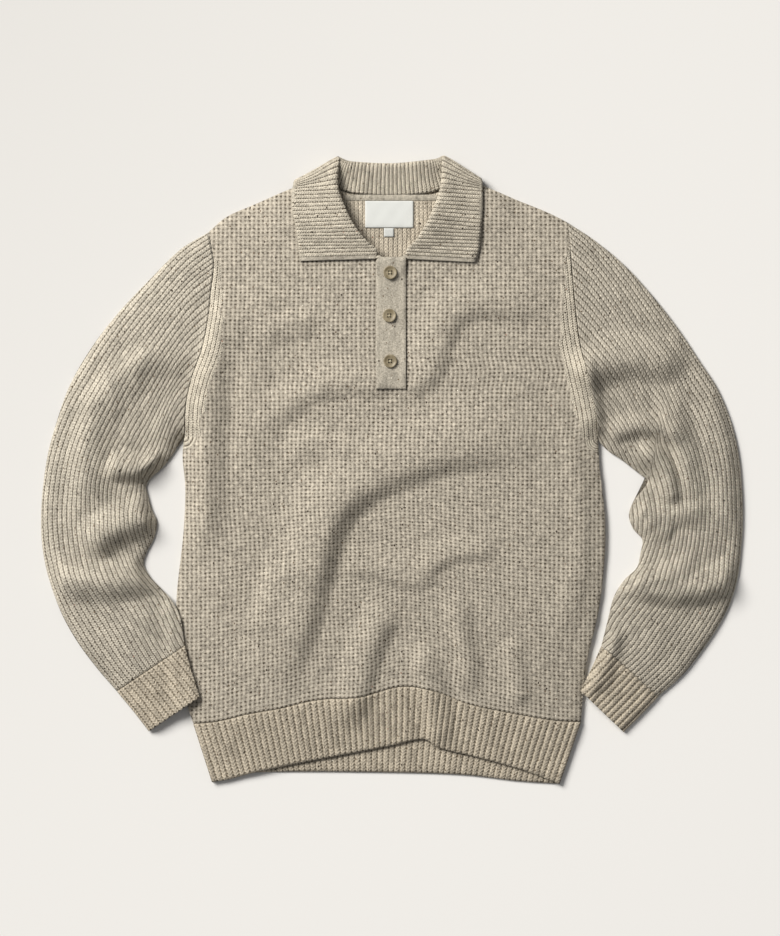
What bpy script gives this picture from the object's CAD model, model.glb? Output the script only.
"""Looks of a tweed wool polo sweater laid flat, front side up.

The sweater's pieces are fine knitted sheets on the same outlines, folds and levels as the
solids of the frame. Plan sizes are in millimetres, in the frame's own axes: +X is the wearer's
left, +Y runs up to the collar and +Z is up from the surface. They become metres where a mesh is
made.
"""

import logging
import math
from dataclasses import dataclass, field
from enum import Enum
from typing import Callable, Sequence

import bmesh
import bpy
import numpy as np
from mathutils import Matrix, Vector


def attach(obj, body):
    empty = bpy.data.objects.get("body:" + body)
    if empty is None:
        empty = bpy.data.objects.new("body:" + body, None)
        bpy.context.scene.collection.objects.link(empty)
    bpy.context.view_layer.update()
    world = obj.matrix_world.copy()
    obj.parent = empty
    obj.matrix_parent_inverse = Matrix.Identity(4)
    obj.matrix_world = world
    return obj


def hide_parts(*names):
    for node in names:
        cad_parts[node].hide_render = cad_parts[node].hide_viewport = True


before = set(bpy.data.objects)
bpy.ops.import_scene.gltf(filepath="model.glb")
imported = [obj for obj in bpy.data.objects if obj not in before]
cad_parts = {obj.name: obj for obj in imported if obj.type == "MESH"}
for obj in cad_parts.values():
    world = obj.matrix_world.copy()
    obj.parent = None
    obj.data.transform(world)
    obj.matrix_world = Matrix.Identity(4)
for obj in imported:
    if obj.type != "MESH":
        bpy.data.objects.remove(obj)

log = logging.getLogger("polo_sweater")
MM = 0.001
BODY = "root"
Line = np.ndarray
Places = np.ndarray


# --- Outlines and folds, in millimetres --------------------------------------------------

class Side(Enum):
    """A side of the garment as the wearer has it."""

    LEFT = "left"
    RIGHT = "right"


# How many points the smooth lines through the outlines have
SHOULDER_POINTS = 30
NECK_POINTS = 40
FOLD_POINTS = 40
EDGE_POINTS = 60
SLEEVE_POINTS = 90
HEM_POINTS = 90
SEAM_POINTS = 120
END_POINTS = 200
# Outlines, each from top to bottom or from the viewer's left to right: x, y
ARMHOLE = {
    Side.RIGHT: ((-206, 267), (-200, 233), (-203, 202), (-206, 173), (-213, 136), (-224, 106),
                 (-231, 75), (-233, 37)),
    Side.LEFT: ((197, 278), (200, 247), (203, 210), (209, 154), (215, 121), (224, 83),
                (229, 55), (231, 34))}
SIDE_SEAM = {
    Side.RIGHT: ((-233, 37), (-235, 16), (-232, -20), (-234, -70), (-242, -150), (-239, -195),
                 (-230, -262), (-223, -284)),
    Side.LEFT: ((231, 34), (233, 0), (239, -56), (239, -95), (232, -159), (218, -220),
                (214, -255), (212, -282))}
SHOULDER = {
    Side.RIGHT: ((-206, 267), (-186, 284), (-157, 297), (-127, 310), (-82, 328)),
    Side.LEFT: ((197, 278), (175, 289), (138, 304), (109, 316), (78, 328))}
NECKLINE = {
    Side.RIGHT: ((-82, 328), (-80, 312), (-73, 295), (-60, 276), (-38, 256), (-9, 237)),
    Side.LEFT: ((8, 237), (36, 256), (56, 276), (70, 295), (77, 312), (78, 328))}
NECK_BACK = ((-82, 328), (-62, 316), (-47, 310), (-20, 307), (20, 307), (46, 310), (60, 316),
             (78, 328))
HEM_SEAM = ((-223, -284), (-195, -281), (-162, -273), (-128, -267), (-84, -257), (-34, -253),
            (10, -242), (45, -246), (84, -261), (125, -270), (183, -280), (212, -282))
HEM_SEAM_BACK = ((-223, -284), (-110, -275), (0, -272), (110, -276), (212, -282))
HEM_END = ((-202, -350), (-184, -347), (-158, -340), (-112, -330), (-49, -318), (-6, -310),
           (38, -302), (50, -310), (96, -322), (143, -335), (188, -352))
HEM_END_BACK = ((-202, -350), (-174, -342), (-143, -339), (-13, -339), (81, -342), (143, -349),
                (188, -352))

# One row for each section from the armhole to the wrist: outer edge x, y, inner edge x, y
SLEEVE_SECTIONS = {
    Side.RIGHT: (
        (-206, 267, -233, 37), (-236, 249, -241, 26), (-273, 213, -251, 11),
        (-307, 177, -261, 0), (-335, 141, -272, -10), (-361, 97, -276, -18),
        (-376, 56, -274, -28), (-386, 20, -270, -43), (-392, -20, -264, -58),
        (-394, -52, -267, -75), (-393, -82, -276, -93), (-389, -107, -279, -105),
        (-382, -132, -272, -119), (-370, -163, -258, -134), (-353, -193, -245, -148),
        (-333, -220, -237, -165), (-309, -248, -232, -196)),
    Side.LEFT: (
        (197, 278, 231, 34), (226, 259, 236, 28), (260, 231, 245, 20), (293, 195, 256, 13),
        (321, 159, 269, 3), (345, 123, 279, -5), (365, 92, 287, -12), (380, 56, 280, -23),
        (389, 20, 271, -35), (393, -20, 266, -51), (394, -54, 271, -66), (392, -88, 281, -78),
        (388, -120, 279, -93), (380, -148, 275, -109), (367, -174, 261, -123),
        (349, -201, 249, -142), (328, -228, 242, -168), (299, -254, 235, -196))}
# Four ribs of each sleeve, counted from its outer edge
GUIDE_RIBS = (0, 8, 16, 28)
# One row for each place along a sleeve: share of the way from armhole to wrist, then how far each
# guide rib lies from the outer edge. Ribs beyond an edge have rolled under
GUIDE_ROWS = {
    Side.RIGHT: (
        (0, -2, 42, 112, 246), (0.06, 1, 48, 116, 240), (0.12, 3, 54, 122, 236),
        (0.18, 6, 62, 134, 232), (0.25, 10, 70, 134, 212), (0.35, 11, 64, 113, 200),
        (0.46, 2, 51, 96, 181), (0.6, -1, 50, 105, 195), (0.76, 1, 50, 107, 186),
        (0.85, 4, 56, 102, 170), (1, 2, 40, 79, 139)),
    Side.LEFT: (
        (0, -28, 25, 99, 232), (0.06, -23, 35, 107, 232), (0.13, -11, 53, 118, 231),
        (0.2, -3, 58, 128, 225), (0.25, 1, 59, 123, 216), (0.32, 1, 55, 109, 188),
        (0.44, 0, 50, 95, 175), (0.6, 0, 46, 89, 172), (0.76, -1, 43, 88, 170),
        (0.86, 0, 43, 87, 156), (1, -4, 34, 73, 133))}
CUFF_SECTIONS = {
    Side.RIGHT: ((-309, -248, -232, -196), (-290, -271, -224, -225), (-273, -293, -215, -254)),
    Side.LEFT: ((299, -254, 235, -196), (280, -274, 223, -223), (260, -294, 211, -247))}


@dataclass(frozen=True)
class Fold:
    """A soft ridge. Going along its crest, the first side is on the left."""

    name: str
    height: float
    first_width: float
    second_width: float
    crest: Sequence[tuple[float, float]]


FOLDS = (
    Fold("main sweep", 10, 28, 62, ((178, 14), (128, 22), (70, 20), (22, 6), (-28, -16),
                                    (-66, -50), (-84, -100), (-99, -160), (-118, -215),
                                    (-140, -268))),
    Fold("main sweep foot", 4, 30, 50, ((-30, -10), (-62, -40), (-80, -90), (-92, -140))),
    Fold("chest arc left", 5, 30, 20, ((-142, 36), (-128, 62), (-96, 86), (-60, 97), (-20, 96),
                                       (16, 96))),
    Fold("chest arc middle", 6, 44, 21, ((-10, 96), (24, 97), (44, 114), (55, 146), (69, 172),
                                         (96, 185), (140, 182), (185, 178))),
    Fold("armhole left", 4.5, 34, 28, ((-134, 218), (-150, 186), (-160, 140), (-158, 90),
                                     (-156, 40), (-160, -20))),
    Fold("side left", 11, 34, 24, ((-176, 222), (-188, 176), (-200, 130), (-210, 60),
                                   (-214, -20), (-212, -110))),
    Fold("hem fan 1", 8, 22, 34, ((6, -146), (-12, -172), (-27, -205), (-38, -245),
                                  (-48, -292))),
    Fold("hem fan 2", 8, 26, 16, ((24, -190), (34, -224), (44, -262), (54, -318))),
    Fold("hem fan 3", 5, 20, 16, ((66, -138), (76, -176), (84, -214), (88, -250))),
    Fold("hem fan 4", 5, 20, 16, ((126, -188), (138, -228), (146, -268))),
    Fold("belly cross left", 4, 30, 16, ((-60, -104), (-14, -112), (30, -122), (60, -112))),
    Fold("belly cross right", 4, 14, 26, ((124, -92), (82, -92), (52, -102), (28, -120))),
    Fold("belly left", 4.5, 18, 26, ((-120, 30), (-80, 30), (-36, 20))),
    Fold("chest left", 4.5, 20, 24, ((-150, 150), (-120, 162), (-80, 168))),
    Fold("side left low", 4, 24, 20, ((-124, -96), (-138, -140), (-152, -190))),
    Fold("side right", 3, 20, 20, ((196, 60), (206, 0), (214, -60), (206, -130), (196, -190))),
    Fold("left upper ridge", 8, 34, 24, ((-240, 142), (-268, 130), (-300, 106), (-328, 76),
                                         (-342, 34), (-344, -20), (-342, -60))),
    Fold("left shoulder bend", 3, 20, 16, ((-226, 116), (-248, 120), (-272, 124), (-300, 116))),
    Fold("left underarm ridge", 4, 28, 26, ((-226, 90), (-246, 56), (-268, 28))),
    Fold("left underarm hook", 13, 17, 24, ((-248, 14), (-268, 3), (-288, 0), (-306, 1),
                                            (-324, 4))),
    Fold("left fold between", 15, 26, 30, ((-244, -38), (-276, -53), (-310, -65), (-348, -90))),
    Fold("left elbow ridge", 12, 28, 28, ((-246, -106), (-285, -120), (-322, -125),
                                          (-358, -124), (-394, -112))),
    Fold("left forearm", 2, 26, 34, ((-262, -150), (-286, -190), (-286, -236))),
    Fold("armhole right", 8, 16, 24, ((213, 134), (218, 104), (223, 78), (227, 52), (229, 26))),
    Fold("right shoulder ridge", 12, 36, 28, ((196, 98), (216, 108), (238, 119), (264, 124),
                                              (294, 122), (338, 122))),
    Fold("right underarm ridge", 8, 20, 15, ((236, 36), (262, 46), (286, 50), (308, 42),
                                             (320, 24))),
    Fold("right inner ridge", 12, 17, 18, ((268, 16), (290, 17), (304, 3), (311, -19),
                                           (313, -46))),
    Fold("right middle ridge", 8, 24, 14, ((298, 90), (314, 56), (325, 24), (332, -10),
                                           (334, -50))),
    Fold("right inner low", 7, 16, 20, ((264, -42), (296, -50), (328, -48), (358, -44))),
    Fold("right inner small", 5, 14, 14, ((280, -60), (298, -67), (316, -74))),
    Fold("right outer ridge", 5, 24, 34, ((352, 96), (366, 40), (372, -20), (366, -84))),
    Fold("right elbow upper", 7, 16, 16, ((254, -110), (288, -117), (318, -112), (344, -98))),
    Fold("right elbow ridge", 13, 24, 22, ((248, -122), (290, -132), (330, -134), (362, -128),
                                           (392, -104))),
    Fold("right forearm", 9, 22, 16, ((248, -172), (238, -206), (222, -252))),
)


# --- Lines and fields --------------------------------------------------------------------

def ease(value: np.ndarray | float) -> np.ndarray:
    """A soft step from 0 to 1.

    Args:
        value: Any number. Below 0 gives 0 and above 1 gives 1.

    Returns:
        The eased value.
    """
    value = np.clip(value, 0.0, 1.0)
    return value * value * (3 - 2 * value)


def evenly(points: np.ndarray, count: int) -> Line:
    """Put evenly spaced points on a line.

    Args:
        points: The line's corners.
        count: How many points the result has.

    Returns:
        The same line with that many points.
    """
    points = np.asarray(points, float)
    run = np.concatenate(([0.0], np.cumsum(np.linalg.norm(np.diff(points, axis=0), axis=1))))
    wanted = np.linspace(0, run[-1], count)
    return np.stack([np.interp(wanted, run, points[:, axis])
                     for axis in range(points.shape[1])], axis=1)


def smooth_curve(points: Sequence[Sequence[float]], count: int) -> Line:
    """Draw a smooth curve through points.

    Args:
        points: The points that the curve passes.
        count: How many evenly spaced points the result has.

    Returns:
        Points on the curve.
    """
    given = np.asarray(points, float)
    knots = np.concatenate(([0.0], np.cumsum(np.linalg.norm(np.diff(given, axis=0),
                                                            axis=1) ** 0.5)))
    slopes = np.gradient(given, knots, axis=0)
    fine = np.linspace(0, knots[-1], max(40 * len(given), 2 * count))
    index = np.clip(np.searchsorted(knots, fine, side="right") - 1, 0, len(given) - 2)
    width = (knots[index + 1] - knots[index])[:, None]
    part = ((fine - knots[index])[:, None]) / width
    curve = ((2 * part ** 3 - 3 * part ** 2 + 1) * given[index]
             + (part ** 3 - 2 * part ** 2 + part) * width * slopes[index]
             + (-2 * part ** 3 + 3 * part ** 2) * given[index + 1]
             + (part ** 3 - part ** 2) * width * slopes[index + 1])
    return evenly(curve, count)


def join_lines(*lines: Line) -> Line:
    """Join lines end to end, without the points that they share."""
    return np.concatenate([lines[0]] + [line[1:] for line in lines[1:]])


def line_distance(place: Places, line: Line) -> tuple[np.ndarray, np.ndarray, np.ndarray]:
    """Measure places against a line.

    Args:
        place: Places in plan, in an array of any shape whose last axis is x, y.
        line: The line's points.

    Returns:
        The distance, the side (above 0 is left of the line) and the share of the line passed.
    """
    start, step = line[:-1], np.diff(line, axis=0)
    length = np.linalg.norm(step, axis=1)
    run = np.concatenate(([0.0], np.cumsum(length)))
    flat = place.reshape(-1, 2)
    parts = []
    for piece in np.array_split(flat, max(1, len(flat) // 20000)):
        away = piece[:, None, :] - start[None, :, :]
        share = np.clip((away * step).sum(2) / np.maximum(length ** 2, 1e-9), 0, 1)
        distance = np.linalg.norm(away - share[:, :, None] * step, axis=2)
        nearest = distance.argmin(1)
        row = np.arange(len(piece))
        cross = (step[nearest, 0] * away[row, nearest, 1]
                 - step[nearest, 1] * away[row, nearest, 0])
        passed = (run[nearest] + share[row, nearest] * length[nearest]) / run[-1]
        parts.append((distance[row, nearest], cross, passed))
    shape = place.shape[:-1]
    return tuple(np.concatenate([part[at] for part in parts]).reshape(shape) for at in range(3))


def edge_lines(rows: Sequence[Sequence[float]], count: int) -> list[Line]:
    """The outer and the inner edge of a table of sections, as smooth lines of so many points."""
    return [smooth_curve([row[at:at + 2] for row in rows], count) for at in (0, 2)]


@dataclass
class Drape:
    """How high the cloth lies: layers, rolled edges and folds. It serves every piece."""

    wall: float = 2.6
    layer_gap: float = 0.8
    edge_height: float = 4.9
    sleeve_edge: float = 2.5
    sheet_height: float = 11.0
    puff: float = 3.0
    edge_roll: float = 13.0
    neck_lift_height: float = 3.2
    roll_power: float = 0.75
    puff_width: float = 55.0
    fold_fade: float = 26.0
    sleeve_fold_fade: float = 14.0
    fold_end: float = 0.22
    neck_middle: float = -2.0
    neck_half_width: float = 144.0
    neck_low: float = 252.0
    neck_ramp: float = 26.0
    overlap_ramp: float = 20.0
    overlap_reach: float = 16.0
    overlap_from: float = -60.0
    folds: Sequence[Fold] = FOLDS
    body_edges: list[Line] = field(default_factory=list)
    sleeve_edges: dict[Side, list[Line]] = field(default_factory=dict)

    def __post_init__(self) -> None:
        """Draw the outer edges that the cloth rolls down at."""
        self.body_edges = [smooth_curve(SHOULDER[side], SHOULDER_POINTS) for side in Side]
        for side, corner in ((Side.RIGHT, HEM_END_BACK[:1]), (Side.LEFT, HEM_END_BACK[-1:])):
            self.body_edges.append(smooth_curve(SIDE_SEAM[side] + corner, EDGE_POINTS))
            rows = SLEEVE_SECTIONS[side] + CUFF_SECTIONS[side][1:]
            self.sleeve_edges[side] = edge_lines(rows, SLEEVE_POINTS)

    def fold_height(self, place: Places) -> np.ndarray:
        """Height that the folds add at each place.

        Args:
            place: Places in plan.

        Returns:
            Heights in mm.
        """
        flat = place.reshape(-1, 2)
        total = np.zeros(len(flat))
        for fold in self.folds:
            crest = smooth_curve(fold.crest, FOLD_POINTS)
            reach = max(fold.first_width, fold.second_width)
            near = np.all((flat > crest.min(0) - reach) & (flat < crest.max(0) + reach), axis=1)
            if not near.any():
                continue
            distance, side, passed = line_distance(flat[near], crest)
            width = np.where(side > 0, fold.first_width, fold.second_width)
            across = np.clip(1 - (distance / width) ** 2, 0, 1) ** 2
            along = ease(passed / self.fold_end) * ease((1 - passed) / self.fold_end)
            total[near] += fold.height * across * along
        return total.reshape(place.shape[:-1])

    def neck_lift(self, place: Places) -> np.ndarray:
        """How far the collar's fall holds the back panel up.

        Args:
            place: Places in plan.

        Returns:
            Heights in mm.
        """
        across = self.neck_half_width - np.abs(place[..., 0] - self.neck_middle)
        return (self.neck_lift_height * ease(across / self.neck_ramp)
                * ease((place[..., 1] - self.neck_low) / self.neck_ramp))

    def top(self, place: Places, inside: np.ndarray, edge_height: float,
            fold_fade: float) -> np.ndarray:
        """Height of the uppermost cloth.

        Args:
            place: Places in plan.
            inside: How far each lies inside its outer edge.
            edge_height: Height right at the edge.
            fold_fade: How far inside the edge the folds reach their full height.

        Returns:
            A height for each place.
        """
        roll = (1 - (1 - np.clip(inside / self.edge_roll, 0, 1)) ** 2) ** self.roll_power
        level = (edge_height + (self.sheet_height - self.puff - edge_height) * roll
                 + self.puff * ease(inside / self.puff_width))
        folds = self.fold_height(place) * ease(inside / fold_fade)
        return level + folds + self.neck_lift(place)

    def body_top(self, place: Places) -> np.ndarray:
        """Top of the front panel and its hem band."""
        inside = np.min([line_distance(place, edge)[0] for edge in self.body_edges], axis=0)
        return self.top(place, inside, self.edge_height, self.fold_fade)

    def sleeve_top(self, place: Places, side: Side) -> np.ndarray:
        """Top of a sleeve or cuff that lies on the surface.

        Args:
            place: Places in plan.
            side: The sleeve's side.

        Returns:
            Heights in mm.
        """
        inside = np.min([line_distance(place, edge)[0] for edge in self.sleeve_edges[side]],
                        axis=0)
        return self.top(place, inside, self.sleeve_edge, self.sleeve_fold_fade)

    def under_sleeve(self, place: Places, side: Side) -> np.ndarray:
        """Height that a sleeve rests on, where it lies over the body's side edge.

        Args:
            place: Places in plan.
            side: The sleeve's side.

        Returns:
            Heights in mm.
        """
        line = self.body_edges[2 if side is Side.RIGHT else 3]
        distance, turn, _ = line_distance(place, line)
        inside = distance * np.sign(turn * (1 if side is Side.RIGHT else -1))
        over = self.layer_gap + self.top(place, np.clip(inside, 0, None), self.edge_height,
                                         self.fold_fade)
        over = over * ease((self.overlap_from - place[..., 1]) / self.overlap_ramp)
        return over * ease((inside + self.overlap_ramp) / self.overlap_reach)


# --- Knits: how a surface rises and falls, in stitch units -------------------------------

def wave(turns: np.ndarray) -> np.ndarray:
    """A smooth wave from 1 at whole turns to 0 at half turns."""
    return 0.5 + 0.5 * np.cos(2 * math.pi * turns)


@dataclass(frozen=True)
class Knit:
    """A knitted structure with ribs that run along it. Sizes are one repeat of it."""

    across: float
    along: float
    depth: float
    bead: float = 0.0

    def relief(self, u: np.ndarray, v: np.ndarray) -> np.ndarray:
        """Height of the surface.

        Args:
            u: Place across the ribs, in repeats.
            v: Place along the ribs, in repeats.

        Returns:
            Heights from 0 on a rib down to the full depth between two.
        """
        groove = (1 - wave(u)) ** 3
        return -self.depth * groove - self.bead * (1 - groove) * (1 - wave(v))


@dataclass(frozen=True)
class Waffle(Knit):
    """Beads in straight columns and rows with a square pit between each four.

    The depths are shares of a pit's: beside a bead, and between a bead and the next below.
    """

    side_depth: float = 0.42
    step_depth: float = 0.2

    def relief(self, u: np.ndarray, v: np.ndarray) -> np.ndarray:
        """Height of the surface: 0 on a bead and deepest in a pit.

        Args:
            u: Place across the rows, in repeats.
            v: Place along the columns, in repeats.

        Returns:
            Heights in mm, of which none is above 0.
        """
        column, course = wave(u), wave(v)
        pit = (1 - column) * (self.side_depth * course + 1 - course)
        return -self.depth * (pit + self.step_depth * column * (1 - course))


WAFFLE = Waffle(across=5.0, along=4.5, depth=1.2)
SLEEVE_RIB = Knit(across=5.3, along=3.0, depth=0.5, bead=0.1)
WIDE_RIB = Knit(across=6.8, along=4.0, depth=1.5, bead=0.12)
CUFF_RIB = Knit(across=6.5, along=4.0, depth=1.5, bead=0.12)
COLLAR_RIB = Knit(across=4.55, along=3.0, depth=0.65, bead=0.1)
ARMHOLE_RIB = Knit(across=4.8, along=3.0, depth=0.8, bead=0.12)
REVERSE_RIB = Knit(across=4.6, along=4.0, depth=0.9, bead=0.1)
PLAIN = Knit(across=3.0, along=3.0, depth=0.0)


# --- Meshes ------------------------------------------------------------------------------

# Points that lie closer than this are joined
MERGE = 0.02


def raised(place: Places, height: np.ndarray) -> np.ndarray:
    """Points in space from places in plan and a height for each."""
    return np.concatenate([place, np.broadcast_to(height, place.shape[:-1])[..., None]], axis=-1)


def grid_quads(index: np.ndarray, keep: np.ndarray | None = None) -> np.ndarray:
    """The quads of a grid of point numbers.

    Args:
        index: Point numbers in rows and columns.
        keep: Which of the quads stay. None keeps them all.

    Returns:
        Four point numbers for each quad.
    """
    quads = np.stack([index[:-1, :-1], index[1:, :-1], index[1:, 1:], index[:-1, 1:]], axis=-1)
    return quads[keep] if keep is not None else quads.reshape(-1, 4)


def cell_middles(values: np.ndarray) -> np.ndarray:
    """The mean of each grid cell's first and last corner."""
    return 0.5 * (values[1:, 1:] + values[:-1, :-1])


def border_edges(quads: np.ndarray) -> np.ndarray:
    """The edges of quads that no other quad shares, in the quads' own direction.

    Args:
        quads: Four point numbers to a quad.

    Returns:
        Two point numbers to an edge.
    """
    edges = np.concatenate([quads[:, (at, (at + 1) % 4)] for at in range(4)])
    large = int(edges.max()) + 1
    key = edges.min(1) * large + edges.max(1)
    _, first, count = np.unique(key, return_index=True, return_counts=True)
    return edges[first[count == 1]]


@dataclass
class Shell:
    """A closed sheet of cloth: a face side, a reverse side and the rims between them."""

    name: str
    face: np.ndarray
    reverse: np.ndarray
    stitches: np.ndarray
    keep: np.ndarray | None = None
    tube: bool = False
    finish_of_quad: np.ndarray | None = None
    second_stitches: np.ndarray | None = None
    reverse_finish: int = 0

    def build(self, materials: Sequence[bpy.types.Material]) -> bpy.types.Object:
        """Make the mesh object.

        Args:
            materials: The finishes that the face numbers point to.

        Returns:
            The new object, linked to the scene and riding on the root body.
        """
        rows, columns = self.face.shape[:2]
        index = np.arange(rows * columns).reshape(rows, columns)
        if self.tube:
            index = np.concatenate([index, index[:, :1]], axis=1)
        front = grid_quads(index, self.keep)
        back = front[:, ::-1] + rows * columns
        rim = border_edges(front)
        rim = np.stack([rim[:, 1], rim[:, 0], rim[:, 0] + rows * columns,
                        rim[:, 1] + rows * columns], axis=1)
        quads = np.concatenate([front, back, rim])
        points = np.concatenate([self.face.reshape(-1, 3), self.reverse.reshape(-1, 3)]) * MM
        mesh = bpy.data.meshes.new(self.name)
        mesh.from_pydata(points.tolist(), [], quads.tolist())
        corners = np.zeros(len(mesh.loops), int)
        mesh.loops.foreach_get("vertex_index", corners)
        place = np.tile(self.stitches.reshape(-1, 2), (2, 1))[corners]
        for material in materials:
            mesh.materials.append(material)
        finish = np.full(len(quads), self.reverse_finish, int)
        finish[:len(front)] = 0
        if self.finish_of_quad is not None:
            finish[:len(front)] = (self.finish_of_quad.ravel() if self.keep is None
                                   else self.finish_of_quad[self.keep])
        if self.second_stitches is not None:
            second = np.tile(self.second_stitches.reshape(-1, 2), (2, 1))[corners]
            own = np.repeat(finish == 1, 4)
            own[4 * len(front):] = False
            place[own] = second[own]
        mesh.uv_layers.new(name="stitches").data.foreach_set("uv", place.ravel())
        mesh.polygons.foreach_set("material_index", finish)
        self.clean(mesh)
        return new_piece(self.name, mesh)

    @staticmethod
    def clean(mesh: bpy.types.Mesh) -> None:
        """Join points that fell together, turn the normals out and shade the mesh smooth.

        Args:
            mesh: The mesh, which is changed.
        """
        work = bmesh.new()
        work.from_mesh(mesh)
        bmesh.ops.remove_doubles(work, verts=work.verts[:], dist=MERGE * MM)
        loose = [vertex for vertex in work.verts if not vertex.link_faces]
        bmesh.ops.delete(work, geom=loose, context="VERTS")
        bmesh.ops.recalc_face_normals(work, faces=work.faces[:])
        if work.calc_volume(signed=True) < 0:
            bmesh.ops.reverse_faces(work, faces=work.faces[:])
        work.to_mesh(mesh)
        work.free()
        mesh.shade_smooth()


def new_piece(name: str, mesh: bpy.types.Mesh) -> bpy.types.Object:
    """Link a mesh to the scene as a piece of the sweater.

    Args:
        name: Name of the piece.
        mesh: Its mesh.

    Returns:
        The piece's object.
    """
    piece = bpy.data.objects.new(name, mesh)
    bpy.context.scene.collection.objects.link(piece)
    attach(piece, BODY)
    triangles = sum(len(polygon.vertices) - 2 for polygon in mesh.polygons)
    log.info("%s: %d triangles", name, triangles)
    return piece


# --- Pieces ------------------------------------------------------------------------------

# The gap between pieces at a seam
SEAM = 0.3
# How far the front stays clear of the collar's seam, and how much more near the collar's tips
NECK_CLEARANCE = 0.8
TIP_CLEARANCE = 2.4
TIP_LEVEL = 268.0
TIP_RAMP = 12.0
# The slit for the placket, and how many repeats of the knit it takes out
SLIT_X = (-16.8, 14.6)
SLIT_REPEATS = 6
SLIT_BOTTOM = 92.7
# Levels that a panel's grid runs between, and where its rows begin to bend towards the hem
TOP_LEVEL = 330.0
LOW_LEVEL = -284.0
BEND_LEVEL = 60.0
# The share of the length a fold takes up that is drawn in, in steps longer than this
GATHERED = 0.8
LEAST_STEP = 0.2


def gather(places: Places, height: np.ndarray) -> Places:
    """Draw the loops together where the cloth climbs a fold, with its borders held.

    Args:
        places: A grid of places in plan.
        height: The height of the folds there.

    Returns:
        The moved places.
    """
    moved = places.copy()
    for axis, turn in ((0, False), (1, True)):
        grid = places.swapaxes(0, 1) if turn else places
        step = np.abs(np.diff(grid[..., axis], axis=1))
        rise = np.diff(height.T if turn else height, axis=1)
        extra = np.where(step > LEAST_STEP, np.hypot(step, rise) - step, 0.0)
        spent, passed = (np.pad(np.cumsum(part, axis=1), ((0, 0), (1, 0))) for part in (extra, step))
        shift = passed * spent[:, -1:] / passed[:, -1:].clip(1) - spent
        moved[..., axis] += GATHERED * (-shift.T if turn else shift)
    return moved


@dataclass
class Panel:
    """A body panel. Its columns hang straight down and its rows follow the hem below."""

    knit: Knit
    per_repeat: int
    top: Callable[[np.ndarray], np.ndarray]
    hem: Line
    armhole_gap: float
    slit: bool = False
    half_width: float = 235.0

    def sides(self) -> tuple[Line, Line]:
        """The panel's edges at the viewer's left and right, from the shoulder to the hem.

        Returns:
            Both edges, in mm.
        """
        lines = []
        for side, inward in ((Side.RIGHT, 1), (Side.LEFT, -1)):
            armhole = smooth_curve(ARMHOLE[side], EDGE_POINTS) + (inward * self.armhole_gap, 0)
            lines.append(join_lines(armhole, smooth_curve(SIDE_SEAM[side], EDGE_POINTS)))
        return lines[0], lines[1]

    def columns(self) -> np.ndarray:
        """Places of the grid's columns, one of them right on each edge of the slit.

        Returns:
            Places in mm, from left to right.
        """
        step = self.knit.across / self.per_repeat
        outside = step * np.arange(int(self.half_width / step))
        inside = np.linspace(*SLIT_X, 1 + SLIT_REPEATS * self.per_repeat)
        return np.concatenate([SLIT_X[0] - outside[::-1], inside[1:-1], SLIT_X[1] + outside])

    def rows(self) -> np.ndarray:
        """Levels of the grid's rows from the top down, one of them at the slit's end.

        Returns:
            Levels in mm.
        """
        step = self.knit.along / self.per_repeat
        above = np.arange(SLIT_BOTTOM, TOP_LEVEL + step, step)[::-1]
        count = int(round((SLIT_BOTTOM - LOW_LEVEL) / step))
        return np.concatenate([above, np.linspace(SLIT_BOTTOM, LOW_LEVEL, count + 1)[1:]])

    def lay_out(self) -> tuple[Places, np.ndarray, np.ndarray]:
        """Lay the grid out in plan.

        Returns:
            The places, the stitch coordinates and which quads stay.
        """
        columns = self.columns()
        repeats = np.arange(len(columns)) - np.argmin(np.abs(columns - SLIT_X[1]))
        x, level = np.meshgrid(columns, self.rows())
        u = np.tile(repeats / self.per_repeat, (len(level), 1))
        keep = np.ones((level.shape[0] - 1, level.shape[1] - 1), bool)
        if self.slit:
            middle_x, middle_y = cell_middles(x), cell_middles(level)
            keep = ~((middle_x > SLIT_X[0]) & (middle_x < SLIT_X[1]) & (middle_y > SLIT_BOTTOM))
        low, high = (np.interp(level, side[::-1, 1], side[::-1, 0]) for side in self.sides())
        u = u + (np.clip(x, low, high) - x) / self.knit.across
        x = np.clip(x, low, high)
        level = np.minimum(level, self.top(x))
        arch = np.interp(x, self.hem[:, 0], self.hem[:, 1]) - LOW_LEVEL
        bent = ease((BEND_LEVEL - level) / (BEND_LEVEL - LOW_LEVEL))
        places = np.stack([x, level + arch * bent], axis=-1)
        stitches = np.stack([u, (level - SLIT_BOTTOM) / self.knit.along], axis=-1)
        return places, stitches, keep

    def hem_line(self) -> Line:
        """The panel's lower edge, which the hem band is knitted on to."""
        row = self.lay_out()[0][-1]
        return row[np.concatenate(([True], np.diff(row[:, 0]) > MERGE / 2))]


def front_top(x: np.ndarray) -> np.ndarray:
    """The front panel's top edge: shoulders, and the neckline between them.

    Args:
        x: Places across the panel.

    Returns:
        The edge's level at each of them.
    """
    right, left = (smooth_curve(NECKLINE[side], NECK_POINTS) for side in (Side.RIGHT, Side.LEFT))
    for line, outward in ((right, -1), (left, 1)):
        clearance = NECK_CLEARANCE + TIP_CLEARANCE * ease((TIP_LEVEL - line[:, 1]) / TIP_RAMP)
        line[:, 0] += outward * clearance
    line = join_lines(smooth_curve(SHOULDER[Side.RIGHT], SHOULDER_POINTS), right, left,
                      smooth_curve(SHOULDER[Side.LEFT], SHOULDER_POINTS)[::-1])
    order = np.argsort(line[:, 0], kind="stable")
    return np.interp(x, line[order, 0], line[order, 1])


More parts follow.
